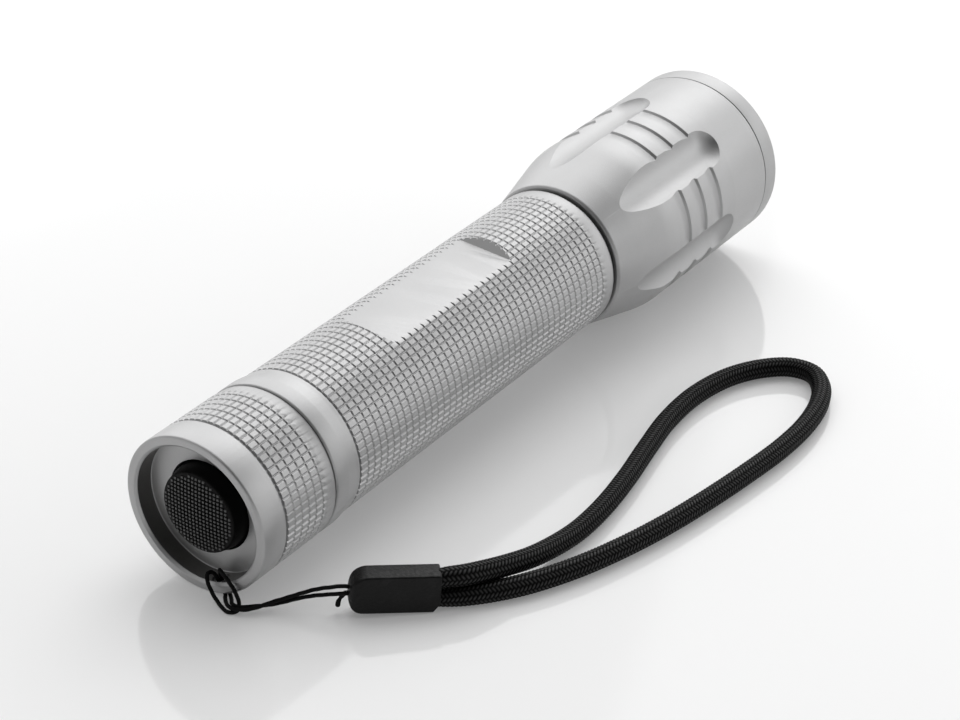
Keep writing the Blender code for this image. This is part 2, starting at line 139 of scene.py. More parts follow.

# The free cords' routes, in millimetres in the row frame.
STRING_ROUTE = [
    (-83.3, -28.0, 6.2), (-84.5, -25.6, 5.7), (-86.0, -22.8, 4.9), (-87.6, -20.4, 3.9),
    (-89.3, -18.1, 2.9), (-91.3, -16.1, 2.2), (-93.3, -14.6, 1.7), (-94.9, -13.1, 1.42),
    (-95.8, -11.6, 1.37), (-96.1, -10.2, 1.37), (-95.6, -9.0, 1.27), (-94.6, -7.8, 0.9),
    (-93.3, -6.5, 0.55), (-92.15, -5.6, 0.48), (-91.6, -4.6, 0.64), (-91.55, -3.85, 1.35),
    (-91.55, -3.45, 2.6), (-91.75, -2.8, 3.8), (-92.35, -2.25, 4.4), (-93.2, -2.2, 4.3),
    (-93.95, -2.8, 3.5), (-94.5, -3.9, 2.4), (-95.05, -5.5, 1.2), (-95.65, -7.3, 0.47),
    (-96.3, -8.8, 0.45), (-96.45, -10.0, 0.45), (-95.85, -10.8, 0.45), (-94.85, -10.95, 0.47),
    (-94.2, -10.75, 1.1), (-94.15, -10.5, 2.3), (-94.1, -9.8, 3.7), (-93.75, -8.3, 4.9),
    (-92.8, -5.9, 5.5), (-91.8, -4.2, 5.3), (-90.95, -3.5, 4.3), (-90.6, -3.45, 2.9),
    (-90.6, -3.85, 1.4), (-90.65, -4.6, 0.66), (-91.1, -5.7, 0.48), (-92.3, -7.1, 0.5),
    (-93.5, -8.3, 0.9), (-94.65, -9.3, 1.27), (-95.1, -10.35, 1.37), (-94.8, -11.65, 1.37),
    (-93.9, -12.7, 1.37), (-92.6, -14.0, 1.35), (-90.9, -15.7, 1.35), (-89.2, -17.9, 1.95),
    (-87.8, -20.0, 2.75), (-86.5, -22.3, 3.5), (-85.1, -25.2, 4.2), (-83.6, -28.2, 4.8),
]
CORD_ROUTE = [
    (-70.6, -41.8, 6.55), (-67.7, -44.2, 6.4), (-63.9, -46.0, 5.9), (-58.8, -47.8, 5.1),
    (-52.4, -49.4, 4.1), (-45.3, -50.1, 3.1), (-38.0, -50.3, 2.35), (-31.4, -50.1, 2.2),
    (-23.8, -49.3, 2.2), (-13.7, -47.5, 2.2), (-2.2, -44.9, 2.2), (10.5, -42.4, 2.2),
    (23.3, -41.8, 2.2), (34.4, -43.9, 2.2), (41.7, -48.0, 2.2), (45.6, -52.7, 2.2),
    (45.8, -57.9, 2.2), (41.7, -62.3, 2.2), (34.9, -65.5, 2.2), (25.7, -67.4, 2.2),
    (14.6, -67.8, 2.2), (1.9, -66.9, 2.2), (-11.5, -65.4, 2.2), (-24.4, -63.4, 2.2),
    (-36.3, -60.7, 2.2), (-48.4, -56.8, 2.2), (-58.8, -51.8, 2.2), (-65.7, -46.8, 2.2),
    (-70.6, -41.9, 2.2),
]
KNOT_ROUTE = [(-83.1, -27.6, 4.3), (-83.5, -27.0, 3.4), (-83.9, -26.7, 2.5), (-84.1, -26.6, 1.5)]

# The strap's end piece, from its mouth at the cord's end to its tip at the string's.
FERRULE_END = (-71.1, -41.2, 4.2)
FERRULE_TIP = (-83.0, -28.4, 5.3)
FERRULE_HEIGHT = 8.2
FERRULE_WIDTH = 4.8
FERRULE_ALONG = (Vector(FERRULE_END) - Vector(FERRULE_TIP)).normalized()

# Edges that bend by less than SMOOTH_BELOW are shaded smooth. A plain turned piece has ROUND_STEPS sides.
SMOOTH_BELOW = math.radians(34)
ROUND_STEPS = 144

# The room's light outside the softboxes and on its dark side, the cosines between which one turns into the
# other, and half the table's side in metres.
ROOM_LIGHT = 0.425
DARK_SIDE = 0.025
DARK_FROM = 0.74
DARK_TO = 0.9
FLOOR_REACH = 3.0


# Materials

class Nodes:
    """A material's node tree, with short calls for the nodes used here."""

    def __init__(self, name):
        self.material = bpy.data.materials.new(name)
        self.material.use_nodes = True
        self.tree = self.material.node_tree
        self.shader = self.tree.nodes["Principled BSDF"]
        self.place = self.tree.nodes.new("ShaderNodeTexCoord").outputs["Object"]

    def set(self, **values):
        for name, value in values.items():
            socket = self.shader.inputs[name.replace("_", " ")]
            if isinstance(value, bpy.types.NodeSocket):
                self.tree.links.new(value, socket)
            else:
                socket.default_value = value
        return self

    def node(self, kind, **values):
        made = self.tree.nodes.new("ShaderNode" + kind)
        for name, value in values.items():
            if isinstance(value, bpy.types.NodeSocket):
                self.tree.links.new(value, made.inputs[name.replace("_", " ")])
            elif name in made.bl_rna.properties:
                setattr(made, name, value)
            else:
                made.inputs[name.replace("_", " ")].default_value = value
        return made

    def noise(self, scale, detail, place=None):
        return self.node("TexNoise", Vector=place or self.place, Scale=scale, Detail=detail).outputs["Fac"]

    def range(self, value, low, high, source=(0.3, 0.7)):
        made = self.node("MapRange", Value=value)
        for socket, number in zip(("From Min", "From Max", "To Min", "To Max"), (*source, low, high)):
            made.inputs[socket].default_value = number
        return made.outputs["Result"]

    def mix(self, factor, first, second):
        made = self.tree.nodes.new("ShaderNodeMix")
        made.data_type = "RGBA"
        sockets = (made.inputs[0], made.inputs[6], made.inputs[7])
        for socket, value in zip(sockets, (factor, first, second)):
            if isinstance(value, bpy.types.NodeSocket):
                self.tree.links.new(value, socket)
            else:
                socket.default_value = value
        return made.outputs[2]

    def bump(self, height, strength, distance):
        made = self.node("Bump", Height=height, Strength=strength, Distance=distance)
        return made.outputs["Normal"]


def grey(value):
    return (value, value, value, 1)


def blasted_aluminium():
    """Bead-blasted, clear anodised aluminium: an even satin with a fine grain."""
    look = Nodes("blasted_aluminium")
    grain = look.noise(5200, 3.0)
    cloud = look.noise(60, 4.0)
    darker = (0.425, 0.425, 0.427, 1)
    lighter = (0.455, 0.455, 0.457, 1)
    look.set(Base_Color=look.mix(look.range(cloud, 0.0, 1.0), darker, lighter), Metallic=1.0,
             Roughness=look.range(grain, 0.42, 0.5), Normal=look.bump(grain, 0.35, 0.00006))
    return look.material


def milled_aluminium():
    """The flat: the same metal, with the cutter's faint lines along it."""
    look = Nodes("milled_aluminium")
    stretched = look.node("Mapping", Vector=look.place, Scale=(60, 4000, 4000)).outputs["Vector"]
    lines = look.noise(1.0, 3.0, stretched)
    look.set(Base_Color=(0.53, 0.53, 0.532, 1), Metallic=1.0, Roughness=look.range(lines, 0.38, 0.46),
             Normal=look.bump(lines, 0.12, 0.00003))
    return look.material


def recess_painted_shade():
    """The wall of the tail recess: the same aluminium with a much darker base colour, painted shade for the shadow
    inside the recess.
    """
    look = Nodes("recess_painted_shade")
    grain = look.noise(4200, 3.0)
    look.set(Base_Color=(0.19, 0.187, 0.182, 1), Metallic=1.0, Roughness=look.range(grain, 0.42, 0.52),
             Normal=look.bump(grain, 0.35, 0.00006))
    return look.material


def gloss_with_hollow_shade(look, low, high):
    """Gloss by the mesh's "relief" attribute, which is 1 where it stands proud and 0 in its hollows. The low gloss
    in the hollows is painted shade, darkening them where light would be blocked. A mesh without it has the low
    gloss all over."""
    relief = look.node("Attribute", attribute_name="relief").outputs["Fac"]
    proud = (0.35, 1.0)
    return look.range(relief, low, high, proud)


def black_rubber():
    """Soft matt rubber, glossy on the tips of the button's pyramids, with painted shade: no gloss in the hollows
    between them.
    """
    look = Nodes("black_rubber")
    grain = look.noise(2600, 3.0)
    look.set(Base_Color=(0.003, 0.003, 0.003, 1), Roughness=look.range(grain, 0.36, 0.5),
             Specular_IOR_Level=gloss_with_hollow_shade(look, 0.1, 1.0), Normal=look.bump(grain, 0.3, 0.00005))
    return look.material


def black_braid():
    """Black nylon yarn, glossy along the crown of each strand, with painted shade: almost no gloss in the hollows
    between strands.
    """
    look = Nodes("braided_nylon")
    fibre = look.noise(3800, 4.0)
    color = look.mix(look.range(fibre, 0.0, 1.0), grey(0.001), grey(0.004))
    look.set(Base_Color=color, Roughness=look.range(fibre, 0.4, 0.6),
             Normal=look.bump(fibre, 0.5, 0.00008), Specular_IOR_Level=gloss_with_hollow_shade(look, 0.03, 0.6))
    return look.material


def waxed_string():
    """Thin waxed cord, nearly matt."""
    look = Nodes("waxed_string")
    fibre = look.noise(3800, 4.0)
    look.set(Base_Color=look.mix(look.range(fibre, 0.0, 1.0), grey(0.002), grey(0.006)),
             Roughness=look.range(fibre, 0.55, 0.8), Specular_IOR_Level=0.12,
             Normal=look.bump(fibre, 0.5, 0.00008))
    return look.material


def ferrule_plastic():
    """Coarse-grained moulded plastic with light scuffs."""
    look = Nodes("ferrule_plastic")
    grain = look.noise(1500, 5.0)
    scuffs = look.noise(320, 6.0)
    look.set(Base_Color=look.mix(look.range(scuffs, 0.0, 1.0, (0.55, 0.75)), grey(0.002), grey(0.01)),
             Roughness=look.range(grain, 0.3, 0.5), Specular_IOR_Level=0.22,
             Normal=look.bump(grain, 0.7, 0.0002))
    return look.material


def clear_plastic():
    """The lens: clear acrylic."""
    look = Nodes("clear_lens")
    haze = look.noise(40, 2.0)
    look.set(Base_Color=(0.97, 0.98, 0.99, 1), Roughness=look.range(haze, 0.01, 0.03),
             Transmission_Weight=1.0, IOR=1.49)
    return look.material


def metal(name, color, low, high, scale):
    """Turned or drawn metal with fine tool marks."""
    look = Nodes(name)
    marks = look.noise(scale, 3.0)
    look.set(Base_Color=(*color, 1), Metallic=1.0, Roughness=look.range(marks, low, high),
             Normal=look.bump(marks, 0.15, 0.00004))
    return look.material


def plastic(name, first, second, roughness, scale):
    """Moulded or coated material whose colour wanders a little."""
    look = Nodes(name)
    spots = look.noise(scale, 4.0)
    look.set(Base_Color=look.mix(look.range(spots, 0.0, 1.0), (*first, 1), (*second, 1)),
             Roughness=look.range(spots, roughness, roughness + 0.1),
             Normal=look.bump(spots, 0.1, 0.00005))
    return look.material


def floor_material():
    """A glossy white light table, lit a little from below, which thins the shadow."""
    look = Nodes("studio_floor")
    look.set(Base_Color=(0.76, 0.76, 0.76, 1), Roughness=0.08, Specular_IOR_Level=0.5,
             Emission_Color=(1, 1, 1, 1), Emission_Strength=0.16)
    return look.material


LOOKS = {
    "silver": blasted_aluminium(),
    "milled": milled_aluminium(),
    # The recess look is painted shade: a much darker copy of the aluminium for the recess wall.
    "recess": recess_painted_shade(),
    "rubber": black_rubber(),
    "braid": black_braid(),
    "string": waxed_string(),
    "ferrule": ferrule_plastic(),
    "lens": clear_plastic(),
    "brass": metal("turned_brass", (0.72, 0.53, 0.25), 0.28, 0.4, 900),
    "steel": metal("spring_steel", (0.56, 0.56, 0.58), 0.22, 0.34, 2400),
    "board": plastic("solder_mask", (0.74, 0.75, 0.73), (0.8, 0.81, 0.79), 0.4, 300),
    "phosphor": plastic("led_phosphor", (0.85, 0.68, 0.08), (0.9, 0.76, 0.16), 0.3, 1800),
    "ceramic": plastic("led_ceramic", (0.82, 0.82, 0.8), (0.88, 0.88, 0.86), 0.45, 1200),
    "cell": plastic("cell_wrap", (0.05, 0.06, 0.09), (0.07, 0.08, 0.11), 0.3, 200),
    "switch": plastic("switch_plastic", (0.03, 0.03, 0.034), (0.05, 0.05, 0.055), 0.45, 700),
}


# Meshes

def piece(name, mesh, looks, body, replaced):
    """A finished piece: smooth where round, on its CAD body, in place of the CAD nodes it stands for."""
    for look in looks:
        mesh.materials.append(LOOKS[look])
    mesh.shade_smooth()
    mesh.set_sharp_from_angle(angle=SMOOTH_BELOW)
    made = bpy.data.objects.new(name, mesh)
    bpy.context.scene.collection.objects.link(made)
    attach(made, body)
    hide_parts(*replaced)
    return made


def grid_mesh(name, points, loop_rows, capped):
    """A mesh over a (rows, columns, 3) array in metres. Columns close on themselves. Rows may too, or end
    in flat caps."""
    rows, columns = points.shape[:2]
    quads = []
    for row in range(rows if loop_rows else rows - 1):
        here = row * columns
        there = (row + 1) % rows * columns
        for k in range(columns):
            after = (k + 1) % columns
            quads.append((here + k, here + after, there + after, there + k))
    if capped:
        quads.append(tuple(reversed(range(columns))))
        quads.append(tuple(range((rows - 1) * columns, rows * columns)))
    mesh = bpy.data.meshes.new(name)
    mesh.from_pydata(points.reshape(-1, 3).tolist(), [], quads)
    shape = bmesh.new()
    shape.from_mesh(mesh)
    bmesh.ops.recalc_face_normals(shape, faces=shape.faces)
    shape.to_mesh(mesh)
    shape.free()
    return mesh


def rounded(outline, pieces=3):
    """The outline with each (station, radius, fillet) corner turned into a small arc. No fillet takes as
    much as half of a side, so that neighbours never meet."""
    most = 0.49
    result = []
    count = len(outline)
    for k, point in enumerate(outline):
        if len(point) < 3:
            result.append(point)
            continue
        here = Vector(point[:2])
        before = Vector(outline[k - 1][:2]) - here
        after = Vector(outline[(k + 1) % count][:2]) - here
        reach = min(point[2], before.length * most, after.length * most)
        start = here + before.normalized() * reach
        end = here + after.normalized() * reach
        for j in range(pieces + 1):
            t = j / pieces
            result.append(tuple(start.lerp(here, t).lerp(here.lerp(end, t), t)))
    return result


def turned_points(outline, angles, radii=None):
    """Turns (station, radius) rows about the axis. Radii, or angles, may differ round each row. The points
    are in metres in the world."""
    angles = np.asarray(angles)
    if radii is None:
        radii = np.array([np.broadcast_to(radius, angles.shape) for _, radius in outline])
    stations = np.broadcast_to(np.array([[station] for station, _ in outline]), radii.shape)
    local = np.stack([stations, -radii * np.sin(angles), radii * np.cos(angles)], axis=-1) * MM
    matrix = np.array(TO_WORLD)
    return local @ matrix[:3, :3].T + matrix[:3, 3]


def even(steps):
    """Angles spread evenly over a turn."""
    return [math.tau * k / steps for k in range(steps)]


def turned_mesh(name, outline, angles, solid=False):
    return grid_mesh(name, turned_points(outline, angles), not solid, solid)


def turned(name, outline, looks, body, replaced, solid=False):
    mesh = turned_mesh(name, outline, even(ROUND_STEPS), solid)
    return piece(name, mesh, looks, body, replaced)


def ring(station, radius, thickness):
    """The outline of an O-ring."""
    sides = 14
    half = thickness / 2
    return [(station + half * math.cos(a), radius + half * math.sin(a)) for a in even(sides)]


def knurl_angles():
    """Angles round the torch: the two edges of each pad and the two edges of the groove floor after it."""
    period = math.tau / PADS_ROUND
    top = GROOVE_TOP / GRIP_R / 2
    floor = GROOVE_FLOOR / GRIP_R / 2
    offsets = (-floor, floor, top, period - top)
    return [period * k + offset for k in range(PADS_ROUND) for offset in offsets]


KNURL_ANGLES = knurl_angles()
KNURL_COLUMNS = np.array([1.0, 1.0, 0.0, 0.0] * PADS_ROUND)


def pad_row(station, radius):
    """A row across the pads, sunk where the lengthwise grooves are."""
    return (station, radius - KNURL_DEPTH * KNURL_COLUMNS)


def knurl(span, rings, radius):
    """Rows of a knurled stretch, from the groove it opens into to where its lengthwise grooves run out."""
    rows = [pad_row(span[0], radius)]
    floor = radius - KNURL_DEPTH
    for centre in rings:
        rows += [pad_row(centre - RING_TOP / 2, radius), (centre - GROOVE_FLOOR / 2, floor),
                 (centre + GROOVE_FLOOR / 2, floor), pad_row(centre + RING_TOP / 2, radius)]
    return rows + [pad_row(span[1] - KNURL_RUNOUT, radius), (span[1], radius)]


def thread(start, end, radius):
    """Rows of a right-hand V thread that fades in and out at its ends."""
    rows_each_turn = 12
    fading_rows = 8
    angles = np.array(KNURL_ANGLES)
    count = round(abs(end - start) / PITCH * rows_each_turn)
    rows = []
    for k in range(count + 1):
        station = start + (end - start) * k / count
        fade = min(1.0, k / fading_rows, (count - k) / fading_rows)
        phase = (station / PITCH + (angles + math.pi / 2) / math.tau) % 1.0
        rows.append((station, radius + THREAD_HEIGHT * fade * (4 * np.abs(phase - 0.5) - 1)))
    return rows


def cut(mesh, cutter):
    """The mesh with the cutter's mesh taken away, both in the world."""
    things = []
    for part in (mesh, cutter):
        thing = bpy.data.objects.new("cutting", part)
        bpy.context.scene.collection.objects.link(thing)
        things.append(thing)
    modifier = things[0].modifiers.new("cut", "BOOLEAN")
    modifier.operation = "DIFFERENCE"
    modifier.solver = "EXACT"
    modifier.object = things[1]
    shown = things[0].evaluated_get(bpy.context.evaluated_depsgraph_get())
    result = bpy.data.meshes.new_from_object(shown)
    for thing in things:
        bpy.data.objects.remove(thing)
    result.name = mesh.name
    return result


def turn_from_up(angle):
    """The turn about the torch's axis that takes its top to this angle."""
    return Matrix.Rotation(angle, 4, "X")


# Torch

def make_grip():
    """The grip tube: thread, collar, cone, knurl with the milled flat, and the neck under the head."""
    tail_seal_seat = [(20.6, MALE_R), (20.6, 14.2), (21.9, 14.2), (21.9, 15.15), (22.6, 15.15)]
    collar = [(22.6, CAP.radius, 0.5), (26.3, CAP.radius, 0.3), (29.4, GRIP_R, 0.4), (30.3, GRIP_R, 0.08)]
    first_groove = [(30.42, GRIP_R - 0.42), (30.85, GRIP_R - 0.42)]
    shoulder = [(120.4, GRIP_R), (122.9, GRIP_R, 0.85), (122.9, NECK_R)]
    neck_seal_groove = [(136.3, NECK_R, 0.1), (136.3, 14.0), (137.9, 14.0), (137.9, NECK_R, 0.1)]
    clip_groove = [(149.0, NECK_R), (149.0, 14.2), (150.6, 14.2), (150.6, NECK_R)]
    front_end = [(TUBE.front, NECK_R, 0.3), (TUBE.front, PILL_BORE_R)]
    bores = [(122.6, PILL_BORE_R), (122.0, CELL_BORE_R)]
    outline = rounded([(TUBE.rear, CELL_BORE_R), (TUBE.rear, 14.35, 0.2)])
    outline += thread(*THREAD_SPAN, MALE_R)
    outline += rounded(tail_seal_seat + collar + first_groove)
    outline += knurl(GRIP_KNURL, GRIP_RINGS, GRIP_R)
    outline += rounded(shoulder + neck_seal_groove + clip_groove + front_end + bores)
    mesh = turned_mesh("grip", outline, KNURL_ANGLES)
    low, high = PANEL
    top = GRIP_R + 3
    side = [(low, top), (low, PANEL_HEIGHT + PANEL_WALL), (low + PANEL_WALL, PANEL_HEIGHT)]
    side += [(low + high - station, height) for station, height in reversed(side)]
    points = np.array([[(s, y, z) for s, z in side] for y in (-GRIP_R, GRIP_R)]) * MM
    cutter = grid_mesh("panel_cutter", points, False, True)
    cutter.transform(TO_WORLD @ turn_from_up(PANEL_TURN))
    for part, index in ((mesh, 0), (cutter, 1)):
        for look in ("silver", "milled"):
            part.materials.append(LOOKS[look])
        for face in part.polygons:
            face.material_index = index
    result = cut(mesh, cutter)
    result.materials.clear()
    piece("grip", result, ["silver", "milled"], "body", ["body_tube"])
    # The milled faces are flat, so they take no smooth shading from the round ones beside them.
    for face in result.polygons:
        face.use_smooth = face.material_index == 0


def make_neck_fittings():
    """The seal between neck and head, and the ring that the head closes against."""
    turned("neck_seal", ring(137.1, 14.57, 0.96), ["rubber"], "body", ["neck_oring"])
    turned("zoom_stop_ring", ring(123.3, 15.5, 0.4), ["rubber"], "body", ["zoom_bumper"])


def scallop_reach(station):
    """The scallop cutter's radius at a station: straight, with a round nose."""
    past = max(0.0, station - SCALLOP_FRONT)
    return math.sqrt(max(0.0, SCALLOP_R ** 2 - past ** 2))


def scallop_half_turn(station, radius):
    """Half the angle over which a scallop cuts a round of this radius, or 0 where it doesn't."""
    reach = scallop_reach(station)
    if reach <= SCALLOP_LINE - radius or radius < SCALLOP_LINE - SCALLOP_R:
        return 0.0
    cosine = (radius ** 2 + SCALLOP_LINE ** 2 - reach ** 2) / (2 * radius * SCALLOP_LINE)
    return math.acos(min(1.0, cosine))


def head_row(station, radius):
    """Angles and radii round the head. The scallops' edges keep to the same columns on every row, and
    close to a sliver where there is no scallop."""
    closed = 0.012
    half = scallop_half_turn(station, radius)
    wide = half or closed
    period = math.tau / SCALLOPS
    angles = []
    radii = []
    for k in range(SCALLOPS):
        centre = SCALLOP_FIRST + period * k
        for j in range(SCALLOP_COLUMNS):
            offset = wide * (2 * j / SCALLOP_COLUMNS - 1)
            angles.append(centre + offset)
            depth = radius
            if half:
                square = scallop_reach(station) ** 2 - (SCALLOP_LINE * math.sin(offset)) ** 2
                depth = min(radius, SCALLOP_LINE * math.cos(offset) - math.sqrt(max(0.0, square)))
            radii.append(depth)
        for j in range(LAND_COLUMNS):
            angles.append(centre + wide + (period - 2 * wide) * j / LAND_COLUMNS)
            radii.append(radius)
    return angles, radii


def with_stations(outline, stations):
    """The outline with more points on its outer side, at the given stations."""
    result = [outline[0]]
    for (s0, r0), (s1, r1) in zip(outline, outline[1:]):
        if s1 > s0:
            result += [(s, r0 + (r1 - r0) * (s - s0) / (s1 - s0)) for s in stations if s0 < s < s1]
        result.append((s1, r1))
    return result


def make_head():
    """The sliding head: a cone and a cylinder with ring grooves, cut by the scallops, hollow inside."""
    bore_r = 15.15
    cone_start = HEAD.rear + 0.4
    outline = [(HEAD.rear, bore_r, 0.15), (HEAD.rear, CONE_START_R - 0.45, 0.15),
               (cone_start, CONE_START_R, 0.3), (CONE_END, HEAD.radius, 2.0)]
    groove_r = HEAD.radius - HEAD_GROOVE_DEPTH
    for start in HEAD_GROOVES:
        end = start + HEAD_GROOVE_LENGTH
        outline += [(start, HEAD.radius, 0.9), (start + HEAD_GROOVE_RAMP, groove_r, 0.7),
                    (end - HEAD_GROOVE_WALL, groove_r, 0.1), (end, HEAD.radius, 0.1)]
    bezel_seat = [(HEAD.front, HEAD.radius, 0.15), (HEAD.front, 19.35), (173.6, 19.35), (173.6, 17.4)]
    hollow = [(168.0, 16.9), (141.0, 16.9), (141.0, bore_r)]
    outline += bezel_seat + hollow

    # Rows lie closest together where a scallop's edge curves most, at its tail and its nose.
    depth_r = SCALLOP_LINE - SCALLOP_R
    cone_length = CONE_END - cone_start
    tail = cone_start + (depth_r - CONE_START_R) * cone_length / (HEAD.radius - CONE_START_R)
    nose = SCALLOP_FRONT + math.sqrt(SCALLOP_R ** 2 - (SCALLOP_LINE - HEAD.radius) ** 2)
    squares = [(k / 20) ** 2 for k in range(20)]
    stations = [tail + (CONE_END - tail) * square for square in squares]
    stations += [CONE_END + 0.8 * k for k in range(1, 29)]
    stations += [nose - (nose - SCALLOP_FRONT) * square for square in reversed(squares)]
    outline = with_stations(rounded(outline, 5), stations)
    rows = [head_row(station, radius) for station, radius in outline]
    angles = np.array([row[0] for row in rows])
    radii = np.array([row[1] for row in rows])
    points = turned_points([(station, 0) for station, _ in outline], angles, radii)
    mesh = grid_mesh("head", points, True, False)
    share = SCALLOP_COLUMNS + LAND_COLUMNS
    edge_columns = [share * k + j for k in range(SCALLOPS) for j in (0, SCALLOP_COLUMNS)]
    columns = angles.shape[1]
    edges = set()
    for row in range(len(rows) - 1):
        if scallop_half_turn(*outline[row]) or scallop_half_turn(*outline[row + 1]):
            edges.update((row * columns + k, (row + 1) * columns + k) for k in edge_columns)
    piece("head", mesh, ["silver"], "head", ["head_shell"])
    mark_sharp(mesh, edges)


def set_relief(mesh, heights):
    """Stores how proud each vertex stands, from 0 to 1, for the material."""
    relief = mesh.attributes.new("relief", "FLOAT", "POINT")
    relief.data.foreach_set("value", np.ravel(heights).astype(np.float32))


def mark_sharp(mesh, edges):
    """Creases along edges too gentle for their angle to tell."""
    sharp = mesh.attributes.get("sharp_edge") or mesh.attributes.new("sharp_edge", "BOOLEAN", "EDGE")
    for edge in mesh.edges:
        if tuple(sorted(edge.vertices)) in edges:
            sharp.data[edge.index].value = True


def make_lens_group():
    """The bezel, the domed lens behind it, and the lens's seal."""
    bezel = rounded([
        (177.3, 17.9), (177.3, 19.15, 0.1), (182.15, 19.15), (182.15, BEZEL.radius, 0.15),
        (BEZEL.front, BEZEL.radius, 0.45), (BEZEL.front, 18.1, 0.15), (185.6, 17.2, 0.15), (182.6, 17.2),
        (182.6, 17.9)])
    turned("bezel", bezel, ["silver"], "head", ["bezel_ring"])
    shoulder = 176.0
    flange_r = LENS.radius - 0.1
    dome_r = 17.3
    pole_r = 0.02
    dome_steps = 24
    rise = LENS.front - shoulder
    sphere = (dome_r * dome_r + rise * rise) / (2 * rise)
    sweep = math.asin(dome_r / sphere)
    dome = [(shoulder + rise - sphere + sphere * math.cos(sweep * t), sphere * math.sin(sweep * t))
            for t in (1 - k / dome_steps for k in range(dome_steps + 1))]
    dome[-1] = (dome[-1][0], pole_r)
    lens = [(LENS.rear, pole_r), (LENS.rear, flange_r), (shoulder, flange_r)] + dome
    turned("lens_glass", lens, ["lens"], "head", ["lens"], solid=True)
    gasket = rounded([(176.15, 17.9, 0.2), (176.15, 18.9, 0.2), (177.1, 18.9, 0.2), (177.1, 17.9, 0.2)])
    turned("lens_seal", gasket, ["rubber"], "head", ["lens_gasket"])


def make_tail_cap():
    """The tail cap: recess, knurl, female thread and lanyard hole, and the seal at its thread."""
    switch_bore = [(13.9, 13.6), (6.0, 13.6), (6.0, 9.7), (4.5, 9.7, 0.12)]
    recess = [(4.5, 14.6, 0.2), (0.5, 14.6, 0.1), (0, 15.15, 0.08)]
    rim = [(0, CAP.radius, 0.62), (6.72, CAP.radius, 0.1)]
    first_groove = [(6.84, CAP.radius - 0.48), (7.4, CAP.radius - 0.48)]
    outline = rounded(switch_bore + recess + rim + first_groove)
    outline += knurl(CAP_KNURL, CAP_RINGS, CAP.radius)
    outline += rounded([(CAP.front, CAP.radius, 0.4), (CAP.front, 15.6, 0.1), (20.5, 15.6)])
    outline += thread(THREAD_SPAN[1], THREAD_SPAN[0], FEMALE_R) + [(14.2, 15.3)]
    mesh = turned_mesh("tail_cap", outline, KNURL_ANGLES)
    flare = [(12.0, HOLE_R), (14.3, HOLE_R + 0.25), (14.9, HOLE_R), (16.5, HOLE_R), (17.2, HOLE_R + 0.3),
             (19.0, HOLE_R + 0.3)]
    bore = turned_mesh("bore", flare, even(32), True)
    bore.transform(TO_AXIS)
    bore.transform(Matrix.Rotation(-math.pi / 2, 4, "Y"))
    bore.transform(TO_WORLD @ Matrix.Translation((HOLE_STATION * MM, 0, 0)) @ turn_from_up(HOLE_TURN))
    # The cap's second look is painted shade: the faces of the recess wall, picked below, take a darker copy of the
    # aluminium.
    cap = piece("tail_cap", cut(mesh, bore), ["silver", "recess"], "tail_cap",
                ["tail_cap_shell"])
    for face in cap.data.polygons:
        place = TO_AXIS @ face.center / MM
        in_shaded_recess = SHADED_RECESS_SPAN[0] < place.x < SHADED_RECESS_SPAN[1] and math.hypot(place.y, place.z) < SHADED_RECESS_R
        face.material_index = int(in_shaded_recess)
    seal = ring(21.25, 14.9, 1.1)
    turned("tail_seal_ring", seal, ["rubber"], "tail_seal", ["tail_oring"])


def make_boot():
    """The rubber switch boot, its slightly domed face covered in small blunt pyramids."""
    pitch = 0.87
    height = 0.55
    top = 0.46
    sunk = 0.25
    covered_r = 8.4
    crown = 0.35
    pole_r = 0.02
    grid_turn = math.radians(2)
    face = BOOT.rear + height
    cup = [(face, pole_r), (face, 8.62, 0.35), (4.4, 9.3)]
    flange = [(6.3, 9.35), (6.3, 11.3, 0.1), (7.4, 11.3, 0.1)]
    inside = [(7.4, 7.6), (2.4, 7.2), (2.2, pole_r)]
    mesh = turned_mesh("boot", rounded(cup + flange + inside), even(96), True)
    shape = bmesh.new()
    shape.from_mesh(mesh)
    count = math.ceil(covered_r / pitch)
    turn = TO_WORLD @ turn_from_up(grid_turn)
    for row in range(-count, count + 1):
        for column in range(-count, count + 1):
            y = row * pitch
            z = column * pitch
            if math.hypot(abs(y) + top / 2, abs(z) + top / 2) > covered_r:
                continue
            base = []
            tip = []
            for dy, dz in ((-1, -1), (1, -1), (1, 1), (-1, 1)):
                low, high = [(y + dy * half, z + dz * half) for half in (pitch / 2, top / 2)]
                fall = crown * (high[0] ** 2 + high[1] ** 2) / covered_r ** 2
                base.append(shape.verts.new(turn @ (Vector((face + sunk, *low)) * MM)))
                tip.append(shape.verts.new(turn @ (Vector((BOOT.rear + fall, *high)) * MM)))
            shape.faces.new(tip)
            shape.faces.new(tuple(reversed(base)))
            for k in range(4):
                after = (k + 1) % 4
                shape.faces.new((base[k], base[after], tip[after], tip[k]))
    bmesh.ops.recalc_face_normals(shape, faces=shape.faces)
    shape.to_mesh(mesh)
    shape.free()
    piece("boot", mesh, ["rubber"], "button", ["switch_boot"])
    # Only the pyramids' tips are marked proud, so their flanks and the hollows lose their gloss: painted shade.
    tips_end = BOOT.rear + crown + 0.01
    set_relief(mesh, [(TO_AXIS @ vert.co).x / MM < tips_end for vert in mesh.vertices])


# Strap

